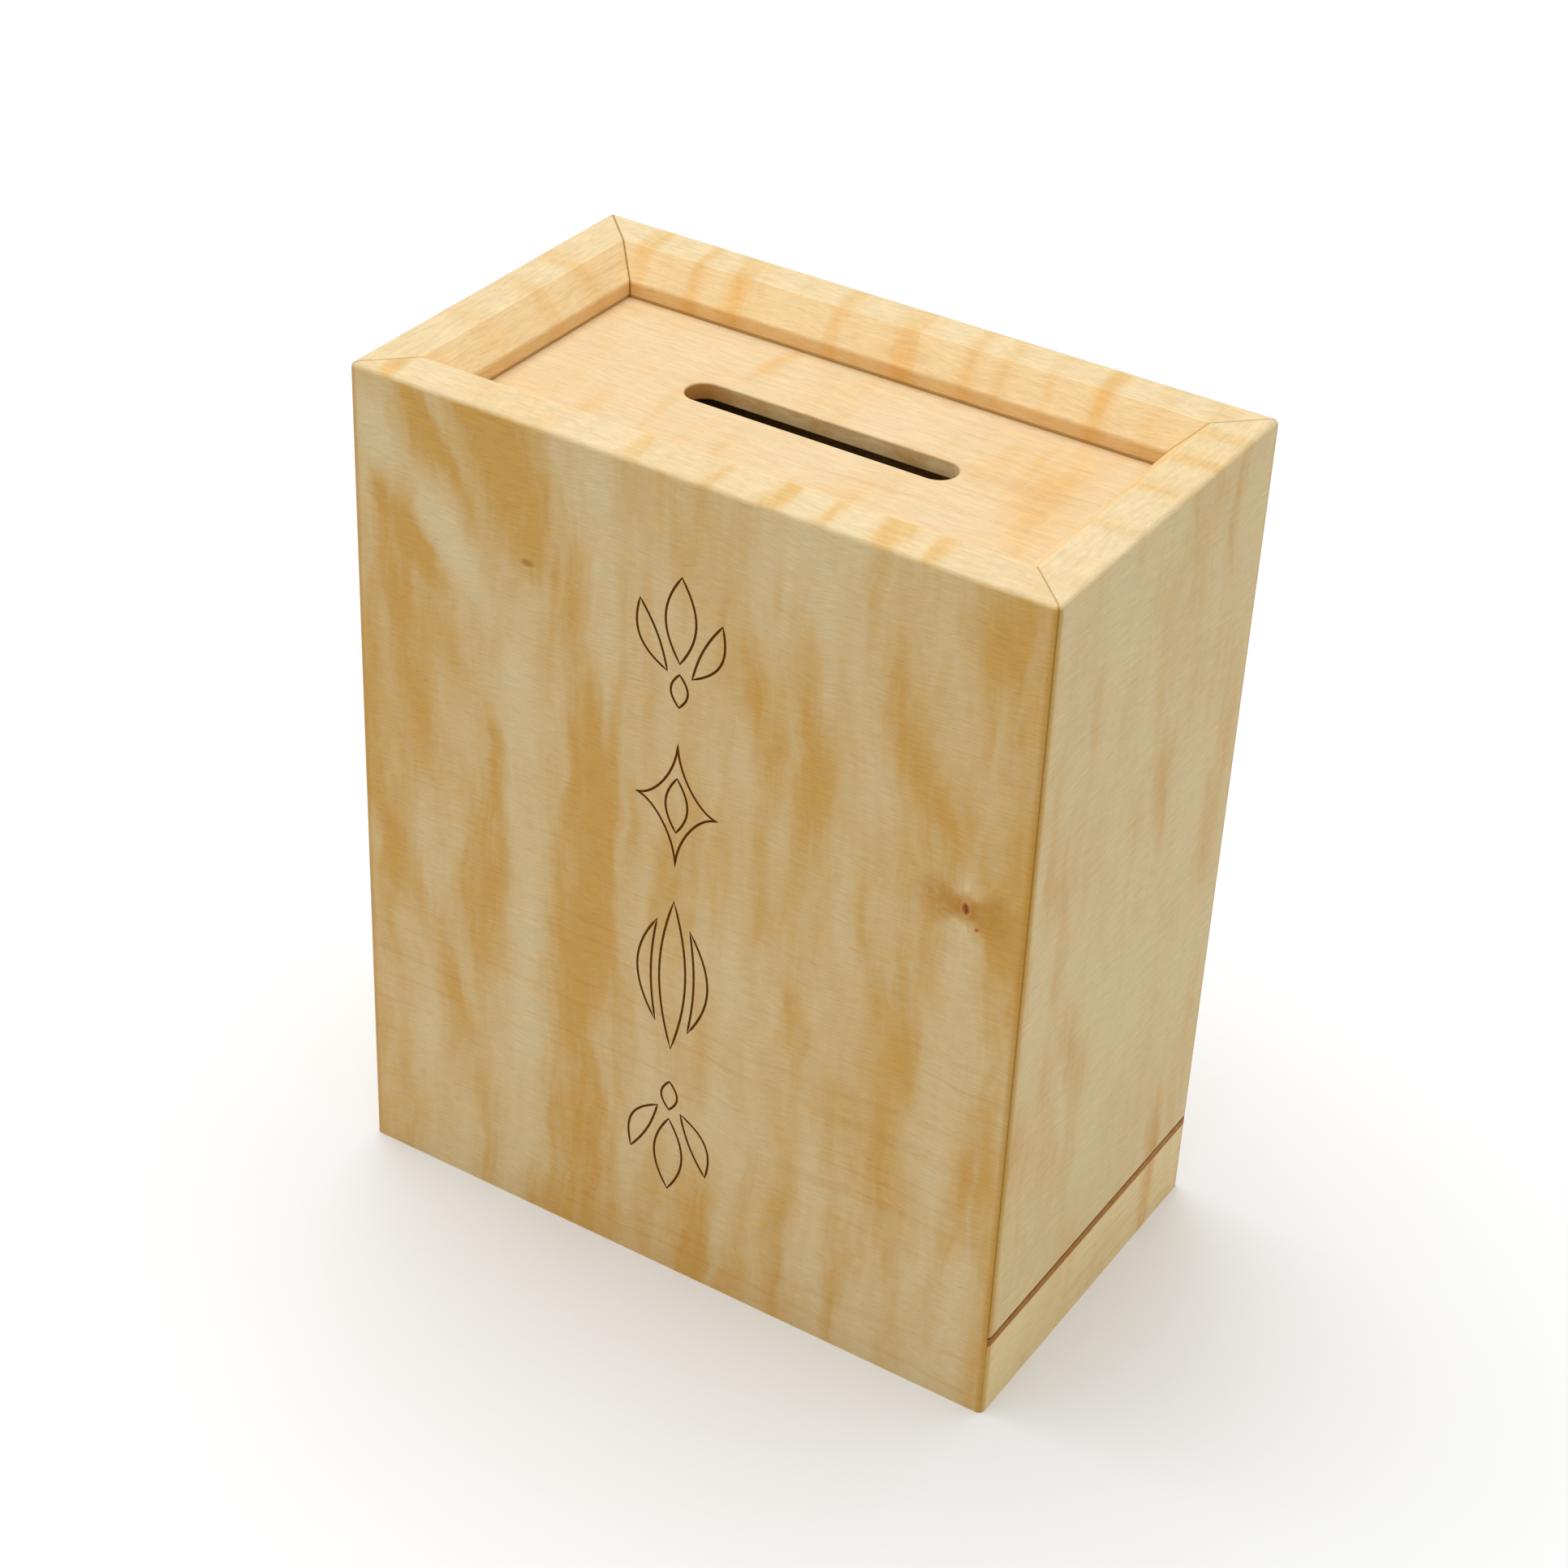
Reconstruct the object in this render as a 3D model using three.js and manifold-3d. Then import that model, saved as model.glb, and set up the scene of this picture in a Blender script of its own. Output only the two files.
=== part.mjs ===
// A wooden puzzle coin box. Four mitred walls of curly maple hold a slotted panel under a
// bevelled rim. The floor slides out to the right, behind a mitred end strip, once a tilt
// lock inside the left end has been worked.
// Millimetres, +Z up, front face towards -Y. The origin is the centre of the footprint,
// on the surface that the box stands on.
import * as THREE from "three";
import {
  mergeVertices,
  toCreasedNormals,
} from "three/addons/utils/BufferGeometryUtils.js";
import Module from "manifold-3d";

const wasm = await Module();
wasm.setup();

// ---- Driving dimensions ----

const box = { width: 103.7, depth: 58.4, height: 127 };

const fit = {
  glued: 0.3, // between faces that glue holds together
  sliding: 0.3, // round a piece that slides
  resting: 0.15, // under a pin that lies against the bolt
};

const wall = {
  thickness: 10.5,
  bevel: 3.8, // the 45 degree bevel on the inner top edge
  lip: 2, // the upright face between the bevel and the slotted panel
  grooveDepth: 3.4,
};

const slotPanel = {
  thickness: 2.5,
  tongue: 2.8, // how far its edges reach into the walls
  slotLength: 40.8,
  slotWidth: 5.4,
  slotShift: { x: 0.5, y: 1.25 }, // the slot was cut a little off centre
};

const strip = {
  height: 12, // the end strip, which is the sliding floor's mitred front
  accent: 1.3, // the red slip on top of it
};

const floorBoard = {
  thickness: 6,
  recess: 1, // its underside is this far above the bottom edges of the walls
  tongueLength: 3,
  tongueThickness: 3,
};

const spline = {
  thickness: 3,
  width: 8,
  inset: 5, // from the inner corner, along the mitre, to its middle
  stop: 3, // how far its ends stay from the grooves
};

const bolt = { diameter: 6.35 };

const pin = {
  diameter: 4,
  length: 9,
  dropLift: 4, // how far the drop pin can rise
  sideRetreat: 2.2, // how far the side pin can roll away
  behindTail: 0.6, // from the locked bolt's tail to the pin that drops behind it
};

const keeper = {
  width: 8,
  wall: 2.7, // round the bolt's hole
  dowelDiameter: 4,
  dowelInKeeper: 4.2,
  dowelInBoard: 3.6,
  dowelEdge: 1, // from a dowel to the keeper's end
  dowelCover: 0.7, // from a dowel's hole to the bolt's hole
};

const lockBlock = {
  pinWall: 1.8, // between the keeper's channel and the pins' bores
  plugLength: 3.2,
  topChamfer: 4, // on the top edge over the coin chamber
};

const roundSegments = 48;
const slotArcSegments = 24;
const creaseAngle = Math.PI / 6;
const cutMargin = 1; // how far a cutting tool stands out of what it cuts

// ---- Places worked out from them ----

const innerX = box.width / 2 - wall.thickness;
const innerY = box.depth / 2 - wall.thickness;
const grooveStart = wall.thickness - wall.grooveDepth; // from a wall's outer face

const lipBottom = box.height - wall.bevel - wall.lip;
const panelTop = lipBottom - fit.sliding;
const panelBottom = panelTop - slotPanel.thickness;
const panelGroove = { bottom: panelBottom - fit.sliding, top: lipBottom };

const boardBottom = floorBoard.recess;
const boardTop = boardBottom + floorBoard.thickness;
const boardMiddle = (boardBottom + boardTop) / 2;
const tongueBottom = boardMiddle - floorBoard.tongueThickness / 2;
const tongueTop = boardMiddle + floorBoard.tongueThickness / 2;
const floorGroove = {
  bottom: tongueBottom - fit.sliding,
  top: tongueTop + fit.sliding,
};
const boardLeft = -innerX + fit.sliding;
const boardRight = innerX - fit.glued;
const boardHalfY = innerY - fit.sliding;

const stripTop = strip.height + strip.accent;
const rightWallBottom = stripTop + fit.sliding;

// Across the lock, from the left wall: the side pin, the bolt, the keeper round the bolt.
const boltRadius = bolt.diameter / 2;
const boltBoreRadius = boltRadius + fit.sliding;
const pinRadius = pin.diameter / 2;
const pinBoreRadius = pinRadius + fit.sliding;
const blockLeft = -innerX + fit.glued;
const sidePinLeft = blockLeft + fit.sliding + pin.sideRetreat;
const boltX = sidePinLeft + pin.length + fit.resting + boltRadius;
const keeperHalfLength = boltBoreRadius + keeper.wall;
const keeperLeft = boltX - keeperHalfLength;
const keeperRight = boltX + keeperHalfLength;
const blockRight = keeperRight + fit.sliding;

// Up the lock: the dowels, the bolt, the drop pin, the plug over its bore.
const boltZ =
  boardTop +
  keeper.dowelInKeeper +
  fit.glued +
  keeper.dowelCover +
  boltBoreRadius;
const keeperTop = boltZ + boltBoreRadius + keeper.wall;
const blockBottom = boardTop + fit.sliding;
const dropPinBottom = boltZ + boltRadius + fit.resting;
const plugBottom = dropPinBottom + pin.length + pin.dropLift + fit.sliding;
const blockTop = plugBottom + lockBlock.plugLength;

// Along the bolt: drawn back it clears the keeper's channel, and locked its tail has
// passed the pins.
const channelHalfWidth = keeper.width / 2 + fit.sliding;
const boltTail = innerY - fit.sliding;
const boltNose = channelHalfWidth + fit.sliding;
const boltLength = boltTail - boltNose;
const pinY = channelHalfWidth + lockBlock.pinWall + pinBoreRadius;
const boltTailLocked = pinY - pinRadius - pin.behindTail;
const boltNoseLocked = boltTailLocked - boltLength;

// ---- Solids ----

function solidOf(geometry) {
  const bare = geometry.clone();
  bare.deleteAttribute("normal");
  bare.deleteAttribute("uv");
  const merged = mergeVertices(bare);
  return new wasm.Manifold(
    new wasm.Mesh({
      numProp: 3,
      vertProperties: merged.getAttribute("position").array,
      triVerts: new Uint32Array(merged.index.array),
    }),
  );
}

function geometryOf(solid) {
  const mesh = solid.getMesh();
  const geometry = new THREE.BufferGeometry();
  geometry.setAttribute(
    "position",
    new THREE.BufferAttribute(mesh.vertProperties, 3),
  );
  geometry.setIndex(new THREE.BufferAttribute(mesh.triVerts, 1));
  return toCreasedNormals(geometry, creaseAngle);
}

function joined(first, ...others) {
  return others.reduce((sum, other) => sum.add(solidOf(other)), solidOf(first));
}

function cut(solid, ...tools) {
  return tools.reduce((left, tool) => left.subtract(solidOf(tool)), solid);
}

function boxBetween(low, high) {
  const size = high.map((value, i) => value - low[i]);
  const middle = low.map((value, i) => value + size[i] / 2);
  return new THREE.BoxGeometry(...size).translate(...middle);
}

// A rod from start, reaching length along "x", "y" or "z".
function rod(axis, radius, start, length) {
  const made = new THREE.CylinderGeometry(
    radius,
    radius,
    length,
    roundSegments,
  ).translate(0, length / 2, 0);
  if (axis === "x") made.rotateZ(-Math.PI / 2);
  if (axis === "z") made.rotateX(Math.PI / 2);
  return made.translate(...start);
}

function outline(points) {
  return new THREE.Shape(points.map(([x, y]) => new THREE.Vector2(x, y)));
}

// An outline drawn in X and Y, standing up from bottom to top.
function standing(shape, bottom, top) {
  return new THREE.ExtrudeGeometry(shape, {
    depth: top - bottom,
    bevelEnabled: false,
    curveSegments: slotArcSegments,
  }).translate(0, 0, bottom);
}

// An outline drawn in Y and Z, lying along X from -length / 2 to length / 2.
function lyingAlongX(shape, length) {
  const turned = new THREE.Matrix4().makeBasis(
    new THREE.Vector3(0, 1, 0),
    new THREE.Vector3(0, 0, 1),
    new THREE.Vector3(1, 0, 0),
  );
  return new THREE.ExtrudeGeometry(shape, {
    depth: length,
    bevelEnabled: false,
  })
    .translate(0, 0, -length / 2)
    .applyMatrix4(turned);
}

// ---- Walls ----
// A wall is made with its outer face on y = 0 and its inner face towards +Y, and is then
// turned to its side of the box. Left and right are its ends as it is made.

// The footprint between two mitres, with half of the gap taken off each.
function mitredFootprint(length) {
  const end = length / 2 - (fit.glued / 2) * Math.SQRT2;
  return outline([
    [-end, 0],
    [end, 0],
    [end - wall.thickness, wall.thickness],
    [wall.thickness - end, wall.thickness],
  ]);
}

// The section from the bottom edge, past one or two grooves, to the bevelled rim.
function wallSection(bottom, hasFloorGroove) {
  const inner = wall.thickness;
  const grooves = hasFloorGroove ? [floorGroove, panelGroove] : [panelGroove];
  return outline([
    [0, bottom],
    [inner, bottom],
    ...grooves.flatMap(({ bottom: low, top: high }) => [
      [inner, low],
      [grooveStart, low],
      [grooveStart, high],
      [inner, high],
    ]),
    [inner, box.height - wall.bevel],
    [inner - wall.bevel, box.height],
    [0, box.height],
  ]);
}

// A spline, or with a clearance the room for one, across the mitre at one end of a wall:
// side is 1 for the right end and -1 for the left.
function splineShape(length, side, { bottom, top }, clearance) {
  const alongMitre = spline.inset / Math.SQRT2;
  const halfWidth = spline.width / 2 + clearance;
  const halfThickness = spline.thickness / 2 + clearance;
  return boxBetween(
    [-halfWidth, -halfThickness, bottom - clearance],
    [halfWidth, halfThickness, top + clearance],
  )
    .rotateZ((side * Math.PI) / 4)
    .translate(
      side * (length / 2 - wall.thickness + alongMitre),
      wall.thickness - alongMitre,
      0,
    );
}

function wallSolid({ length, bottom, hasFloorGroove, leftSpan, rightSpan }) {
  const long = solidOf(
    lyingAlongX(wallSection(bottom, hasFloorGroove), length),
  );
  const footprint = standing(mitredFootprint(length), bottom, box.height);
  return cut(
    long.intersect(solidOf(footprint)),
    splineShape(length, -1, leftSpan, fit.glued),
    splineShape(length, 1, rightSpan, fit.glued),
  );
}

// A spline stops short of the grooves and of the open edge above the end strip.
function splineSpan(wallBottom) {
  return {
    bottom: Math.max(wallBottom, floorGroove.top) + spline.stop,
    top: panelGroove.bottom - spline.stop,
  };
}

const fullSpan = splineSpan(0);
const shortSpan = splineSpan(rightWallBottom);

// Anticlockwise from the front, seen from above. Each spline stands at the right end of
// the wall that it is listed with.
const walls = [
  {
    name: "front_panel",
    length: box.width,
    bottom: 0,
    hasFloorGroove: true,
    leftSpan: fullSpan,
    rightSpan: shortSpan,
    splineName: "front_right_spline",
  },
  {
    name: "right_panel",
    length: box.depth,
    bottom: rightWallBottom,
    hasFloorGroove: false,
    leftSpan: shortSpan,
    rightSpan: shortSpan,
    splineName: "back_right_spline",
  },
  {
    name: "back_panel",
    length: box.width,
    bottom: 0,
    hasFloorGroove: true,
    leftSpan: shortSpan,
    rightSpan: fullSpan,
    splineName: "back_left_spline",
  },
  {
    name: "left_panel",
    length: box.depth,
    bottom: 0,
    hasFloorGroove: true,
    leftSpan: fullSpan,
    rightSpan: fullSpan,
    splineName: "front_left_spline",
  },
];

// The side of the box that a number of quarter turns from the front leads to.
function sideOfBox(quarterTurns) {
  const side = new THREE.Group();
  const outward = quarterTurns % 2 ? box.width / 2 : box.depth / 2;
  side.rotation.z = (quarterTurns * Math.PI) / 2;
  side.position.set(0, -outward, 0).applyEuler(side.rotation);
  return side;
}

// ---- The slotted panel ----

function slotPanelSolid() {
  const halfX = innerX + slotPanel.tongue;
  const halfY = innerY + slotPanel.tongue;
  const { x, y } = slotPanel.slotShift;
  const endRadius = slotPanel.slotWidth / 2;
  const toArc = slotPanel.slotLength / 2 - endRadius;
  const quarter = Math.PI / 2;
  const slot = new THREE.Path()
    .absarc(x + toArc, y, endRadius, -quarter, quarter, false)
    .absarc(x - toArc, y, endRadius, quarter, -quarter, false);
  const panel = outline([
    [-halfX, -halfY],
    [halfX, -halfY],
    [halfX, halfY],
    [-halfX, halfY],
  ]);
  panel.holes.push(slot);
  return solidOf(standing(panel, panelBottom, panelTop));
}

// ---- The sliding floor ----

function floorBoardSolid() {
  const board = boxBetween(
    [boardLeft, -boardHalfY, boardBottom],
    [boardRight, boardHalfY, boardTop],
  );
  const runningTongue = boxBetween(
    [
      boardLeft - floorBoard.tongueLength,
      -boardHalfY - floorBoard.tongueLength,
      tongueBottom,
    ],
    [boardRight, boardHalfY + floorBoard.tongueLength, tongueTop],
  );
  const stripTongue = boxBetween(
    [boardRight - cutMargin, -boardHalfY, tongueBottom],
    [boardRight + floorBoard.tongueLength, boardHalfY, tongueTop],
  );
  return cut(
    joined(board, runningTongue, stripTongue),
    ...dowelShapes(fit.glued),
  );
}

// Made as a wall is, facing -Y. The red slip is a thin layer of the same footprint.
function stripLayer(bottom, top) {
  return solidOf(standing(mitredFootprint(box.depth), bottom, top));
}

function endStripSolid() {
  const tongueRoom = boxBetween(
    [
      -boardHalfY - fit.glued,
      wall.thickness - floorBoard.tongueLength,
      tongueBottom - fit.glued,
    ],
    [
      boardHalfY + fit.glued,
      wall.thickness + cutMargin,
      tongueTop + fit.glued,
    ],
  );
  return cut(stripLayer(0, strip.height), tongueRoom);
}

// The two dowels that fix the keeper to the board, or with a clearance their holes.
function dowelShapes(clearance) {
  const radius = keeper.dowelDiameter / 2;
  const fromMiddle = keeperHalfLength - keeper.dowelEdge - radius;
  return [-fromMiddle, fromMiddle].map((offset) =>
    rod(
      "z",
      radius + clearance,
      [boltX + offset, 0, boardTop - keeper.dowelInBoard - clearance],
      keeper.dowelInBoard + keeper.dowelInKeeper + 2 * clearance,
    ),
  );
}

function keeperSolid() {
  const body = boxBetween(
    [keeperLeft, -keeper.width / 2, boardTop],
    [keeperRight, keeper.width / 2, keeperTop],
  );
  const boltHole = rod(
    "y",
    boltBoreRadius,
    [boltX, -keeper.width / 2 - cutMargin, boltZ],
    keeper.width + 2 * cutMargin,
  );
  return cut(solidOf(body), boltHole, ...dowelShapes(fit.glued));
}

// ---- The tilt lock ----

function lockBlockSolid() {
  const halfY = innerY - fit.glued;
  const body = new THREE.ExtrudeGeometry(
    outline([
      [blockLeft, blockBottom],
      [blockRight, blockBottom],
      [blockRight, blockTop - lockBlock.topChamfer],
      [blockRight - lockBlock.topChamfer, blockTop],
      [blockLeft, blockTop],
    ]),
    { depth: 2 * halfY, bevelEnabled: false },
  )
    .rotateX(Math.PI / 2)
    .translate(0, halfY, 0);
  const keeperChannel = boxBetween(
    [keeperLeft - fit.sliding, -channelHalfWidth, blockBottom - cutMargin],
    [blockRight + cutMargin, channelHalfWidth, keeperTop + fit.sliding],
  );
  const boltBoreEnd = boltNoseLocked - fit.sliding;
  const boltBore = rod(
    "y",
    boltBoreRadius,
    [boltX, boltBoreEnd, boltZ],
    halfY + cutMargin - boltBoreEnd,
  );
  const dropPinBore = rod(
    "z",
    pinBoreRadius,
    [boltX, pinY, boltZ],
    blockTop + cutMargin - boltZ,
  );
  const sidePinBore = rod(
    "x",
    pinBoreRadius,
    [blockLeft - cutMargin, pinY, boltZ],
    boltX - blockLeft + cutMargin,
  );
  return cut(
    solidOf(body),
    keeperChannel,
    boltBore,
    dropPinBore,
    sidePinBore,
  );
}

// ---- Finishes ----

const maple = new THREE.MeshStandardMaterial({
  color: 0xe2c08a,
  roughness: 0.45,
  metalness: 0,
});
const plainMaple = new THREE.MeshStandardMaterial({
  color: 0xd9bc8c,
  roughness: 0.6,
  metalness: 0,
});
const padauk = new THREE.MeshStandardMaterial({
  color: 0x8f4a2c,
  roughness: 0.5,
  metalness: 0,
});
const steel = new THREE.MeshStandardMaterial({
  color: 0xb9bcc0,
  roughness: 0.25,
  metalness: 1,
});

function piece(name, solid, material) {
  const mesh = new THREE.Mesh(geometryOf(solid), material);
  mesh.name = name;
  return mesh;
}

// ---- Assembly ----

const casing = new THREE.Group();
walls.forEach((made, quarterTurns) => {
  const side = sideOfBox(quarterTurns);
  const tongue = splineShape(made.length, 1, made.rightSpan, 0);
  side.add(
    piece(made.name, wallSolid(made), maple),
    piece(made.splineName, solidOf(tongue), plainMaple),
  );
  casing.add(side);
});
casing.add(piece("slot_panel", slotPanelSolid(), maple));

const slidingFloor = new THREE.Group();
const floorEnd = sideOfBox(1);
floorEnd.add(
  piece("end_strip", endStripSolid(), maple),
  piece("accent_strip", stripLayer(strip.height, stripTop), padauk),
);
const [leftDowel, rightDowel] = dowelShapes(0);
slidingFloor.add(
  floorEnd,
  piece("floor_board", floorBoardSolid(), maple),
  piece("keeper_block", keeperSolid(), plainMaple),
  piece("keeper_dowel_left", solidOf(leftDowel), plainMaple),
  piece("keeper_dowel_right", solidOf(rightDowel), plainMaple),
);

const plug = rod(
  "z",
  pinRadius,
  [boltX, pinY, plugBottom],
  lockBlock.plugLength,
);
const lockBolt = rod("y", boltRadius, [boltX, boltNose, boltZ], boltLength);
const dropPin = rod("z", pinRadius, [boltX, pinY, dropPinBottom], pin.length);
const sidePin = rod("x", pinRadius, [sidePinLeft, pinY, boltZ], pin.length);

const tiltLock = new THREE.Group();
tiltLock.add(
  piece("lock_block", lockBlockSolid(), plainMaple),
  piece("pin_bore_plug", solidOf(plug), plainMaple),
  piece("lock_bolt", solidOf(lockBolt), steel),
  piece("drop_pin", solidOf(dropPin), steel),
  piece("side_pin", solidOf(sidePin), steel),
);

const puzzleBox = new THREE.Group();
puzzleBox.add(casing, slidingFloor, tiltLock);

// How far each moving piece travels: the floor along +X until the keeper meets the right
// wall, the bolt along -Y, the drop pin up and the side pin along -X.
puzzleBox.userData = {
  floorTravel: innerX - fit.sliding - keeperRight,
  boltTravel: boltNose - boltNoseLocked,
  dropPinLift: pin.dropLift,
  sidePinRetreat: pin.sideRetreat,
};

export default puzzleBox;
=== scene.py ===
# %% [markdown]
# # A wooden puzzle coin box
# Four mitred boards of curly maple stand round a slotted panel. The floor and the strip on its right
# end slide out together, once a steel bolt inside has been coaxed back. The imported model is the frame:
# it says where every piece lies and what moves with what. This lesson gives each piece the shape and the
# finish that a maker's bench would leave on it.

# %% Load the frame
import math

import bmesh
import bpy
from mathutils import Matrix, Quaternion, Vector


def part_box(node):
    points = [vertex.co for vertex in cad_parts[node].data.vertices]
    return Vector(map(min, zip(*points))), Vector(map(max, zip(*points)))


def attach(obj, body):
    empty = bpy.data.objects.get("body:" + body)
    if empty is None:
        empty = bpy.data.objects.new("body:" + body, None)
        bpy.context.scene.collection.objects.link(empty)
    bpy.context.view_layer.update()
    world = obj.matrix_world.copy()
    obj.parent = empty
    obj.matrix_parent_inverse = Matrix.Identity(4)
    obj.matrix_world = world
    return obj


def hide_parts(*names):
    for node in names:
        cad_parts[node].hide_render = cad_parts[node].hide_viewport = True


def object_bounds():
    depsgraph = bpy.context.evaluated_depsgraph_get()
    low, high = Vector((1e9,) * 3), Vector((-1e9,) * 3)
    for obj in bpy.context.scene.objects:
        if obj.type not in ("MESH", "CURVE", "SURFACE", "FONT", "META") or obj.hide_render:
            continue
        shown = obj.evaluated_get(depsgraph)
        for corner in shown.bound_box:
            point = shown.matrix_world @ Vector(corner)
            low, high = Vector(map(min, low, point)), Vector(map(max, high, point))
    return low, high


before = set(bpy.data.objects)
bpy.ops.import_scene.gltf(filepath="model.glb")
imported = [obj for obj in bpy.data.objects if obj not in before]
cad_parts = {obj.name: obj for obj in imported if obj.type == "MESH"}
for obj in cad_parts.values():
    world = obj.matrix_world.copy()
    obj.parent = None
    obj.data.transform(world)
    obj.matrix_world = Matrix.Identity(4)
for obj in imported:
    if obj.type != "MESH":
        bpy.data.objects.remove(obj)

MM = 0.001
frame_low, frame_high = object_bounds()
box_size = frame_high - frame_low
print("box, in millimetres:", [round(side / MM, 1) for side in box_size])

# %% [markdown]
# ## Camera
# The picture is taken from above the front right corner, with a long lens held close to the box, and
# with the camera leaning a little. The place is worked out from the box's middle, so it follows the box.

# %% Camera
view_azimuth = math.radians(31.15)
view_elevation = math.radians(33.69)
camera_lean = math.radians(2.67)
camera_distance = 459.3 * MM
aim = (frame_low + frame_high) / 2 + Vector((-1.9, 0.5, 2.1)) * MM

camera_data = bpy.data.cameras.new("camera")
camera_data.sensor_width = 36
camera_data.lens = 76.5
camera = bpy.data.objects.new("camera", camera_data)
bpy.context.scene.collection.objects.link(camera)
bpy.context.scene.camera = camera

towards_camera = Vector((
    math.sin(view_azimuth) * math.cos(view_elevation),
    -math.cos(view_azimuth) * math.cos(view_elevation),
    math.sin(view_elevation),
))
camera.location = aim + towards_camera * camera_distance
camera.rotation_mode = "QUATERNION"
level = (-towards_camera).to_track_quat("-Z", "Y")
camera.rotation_quaternion = level @ Quaternion((0, 0, 1), camera_lean)
print("camera at", [round(value, 4) for value in camera.location])

# %% [markdown]
# ## Light and floor
# A product on a white sweep is lit by one wide softbox overhead and by the white room round it. Both are
# so large that no shadow has an edge. The floor is pale and plain, and bounces light up the walls. The
# Standard view keeps pale wood as bright as it is, where a film-like view would grey it.

# %% Light and floor
bpy.context.scene.view_settings.view_transform = "Standard"


def softbox(name, place, size, power, colour):
    data = bpy.data.lights.new(name, "AREA")
    data.shape = "SQUARE"
    data.size = size
    data.energy = power
    data.color = colour
    light = bpy.data.objects.new(name, data)
    light.location = place
    light.rotation_mode = "QUATERNION"
    light.rotation_quaternion = (aim - Vector(place)).to_track_quat("-Z", "Y")
    bpy.context.scene.collection.objects.link(light)
    return light


softbox("overhead", (-0.25, 0.1, 1.4), 1.3, 15.0, (0.97, 0.99, 1.0))

room = bpy.data.worlds.new("room")
room.use_nodes = True
background = room.node_tree.nodes["Background"]
background.inputs["Color"].default_value = (1.0, 0.985, 0.95, 1)
background.inputs["Strength"].default_value = 0.6
bpy.context.scene.world = room

sweep = bmesh.new()
bmesh.ops.create_grid(sweep, x_segments=1, y_segments=1, size=4)
floor_mesh = bpy.data.meshes.new("studio_floor")
sweep.to_mesh(floor_mesh)
sweep.free()
floor = bpy.data.objects.new("studio_floor", floor_mesh)
bpy.context.scene.collection.objects.link(floor)

# %% [markdown]
# ## Shader arithmetic
# Every finish here is built from numbers that change over the surface. A wire is one socket of a
# material. Adding or multiplying wires adds Math nodes, so that a formula for the wood reads as a
# formula. Its one method for any other node sets the node's own settings first and its sockets second.

# %% Wires
class Wire:
    """A socket of a material, on which Python's arithmetic adds Math nodes."""

    def __init__(self, tree, socket=None):
        self.tree = tree
        self.socket = socket

    def node(self, kind, settings, sockets, output=0):
        made = self.tree.nodes.new(kind)
        for name, value in settings.items():
            setattr(made, name, value)
        for key, value in sockets.items():
            if isinstance(value, Wire):
                self.tree.links.new(value.socket, made.inputs[key])
            else:
                made.inputs[key].default_value = value
        return Wire(self.tree, made.outputs[output])

    def math(self, operation, *values):
        return self.node("ShaderNodeMath", {"operation": operation}, dict(enumerate(values)))

    def __add__(self, other):
        return self.math("ADD", self, other)

    __radd__ = __add__

    def __mul__(self, other):
        return self.math("MULTIPLY", self, other)

    __rmul__ = __mul__

    def __sub__(self, other):
        return self.math("SUBTRACT", self, other)

    def __rsub__(self, other):
        return self.math("SUBTRACT", other, self)

    def __truediv__(self, other):
        return self.math("DIVIDE", self, other)

    def __abs__(self):
        return self.math("ABSOLUTE", self)

    def larger(self, other):
        return self.math("MAXIMUM", self, other)

    def smaller(self, other):
        return self.math("MINIMUM", self, other)

    def between(self, start, end):
        """0 at start and 1 at end, with soft shoulders. Start may be the larger."""
        sockets = {"Value": self, "From Min": start, "From Max": end}
        return self.node("ShaderNodeMapRange", {"interpolation_type": "SMOOTHSTEP"}, sockets)


# %% [markdown]
# A material starts from its Principled shader and from Object coordinates, turned to millimetres. Wood
# and metal patterns then have their real sizes, and stay on a piece when it slides.

# %% Starting a finish
def new_finish(name):
    """A material, its shader node and the point of the surface, in millimetres."""
    material = bpy.data.materials.new(name)
    material.use_nodes = True
    shader = material.node_tree.nodes["Principled BSDF"]
    wires = Wire(material.node_tree)
    point = wires.node("ShaderNodeTexCoord", {}, {}, "Object")
    point = wires.node("ShaderNodeMapping", {}, {"Vector": point, "Scale": (1 / MM,) * 3})
    return material, shader, point


def feed(shader, name, wire):
    wire.tree.links.new(wire.socket, shader.inputs[name])


def axes(point):
    """The three coordinates of a point as separate wires."""
    split = point.node("ShaderNodeSeparateXYZ", {}, {0: point})
    outputs = split.socket.node.outputs
    return [Wire(point.tree, outputs[i]) for i in range(3)]


def turned(point, turn, shift=(0, 0, 0)):
    """The point turned by an angle about each axis, and moved to another part of the wood."""
    return point.node("ShaderNodeMapping", {}, {"Vector": point, "Rotation": turn, "Location": shift})


def moved(point, x, y, z):
    offset = point.node("ShaderNodeCombineXYZ", {}, {"X": x, "Y": y, "Z": z})
    return point.node("ShaderNodeVectorMath", {"operation": "ADD"}, {0: point, 1: offset})


def noise(point, size, detail=2.0, roughness=0.5):
    """Noise with a grain of the given size, in millimetres, along each axis."""
    scale = tuple(1 / length for length in size)
    stretched = point.node("ShaderNodeMapping", {}, {"Vector": point, "Scale": scale})
    sockets = {"Vector": stretched, "Scale": 1.0, "Detail": detail, "Roughness": roughness}
    return point.node("ShaderNodeTexNoise", {}, sockets)


def mixed(factor, first, second, blend="MIX"):
    settings = {"data_type": "RGBA", "blend_type": blend}
    return factor.node("ShaderNodeMix", settings, {0: factor, 6: first, 7: second}, 2)


def brightened(colour, amount):
    return colour.node("ShaderNodeVectorMath", {"operation": "SCALE"}, {0: colour, 3: amount})


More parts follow.
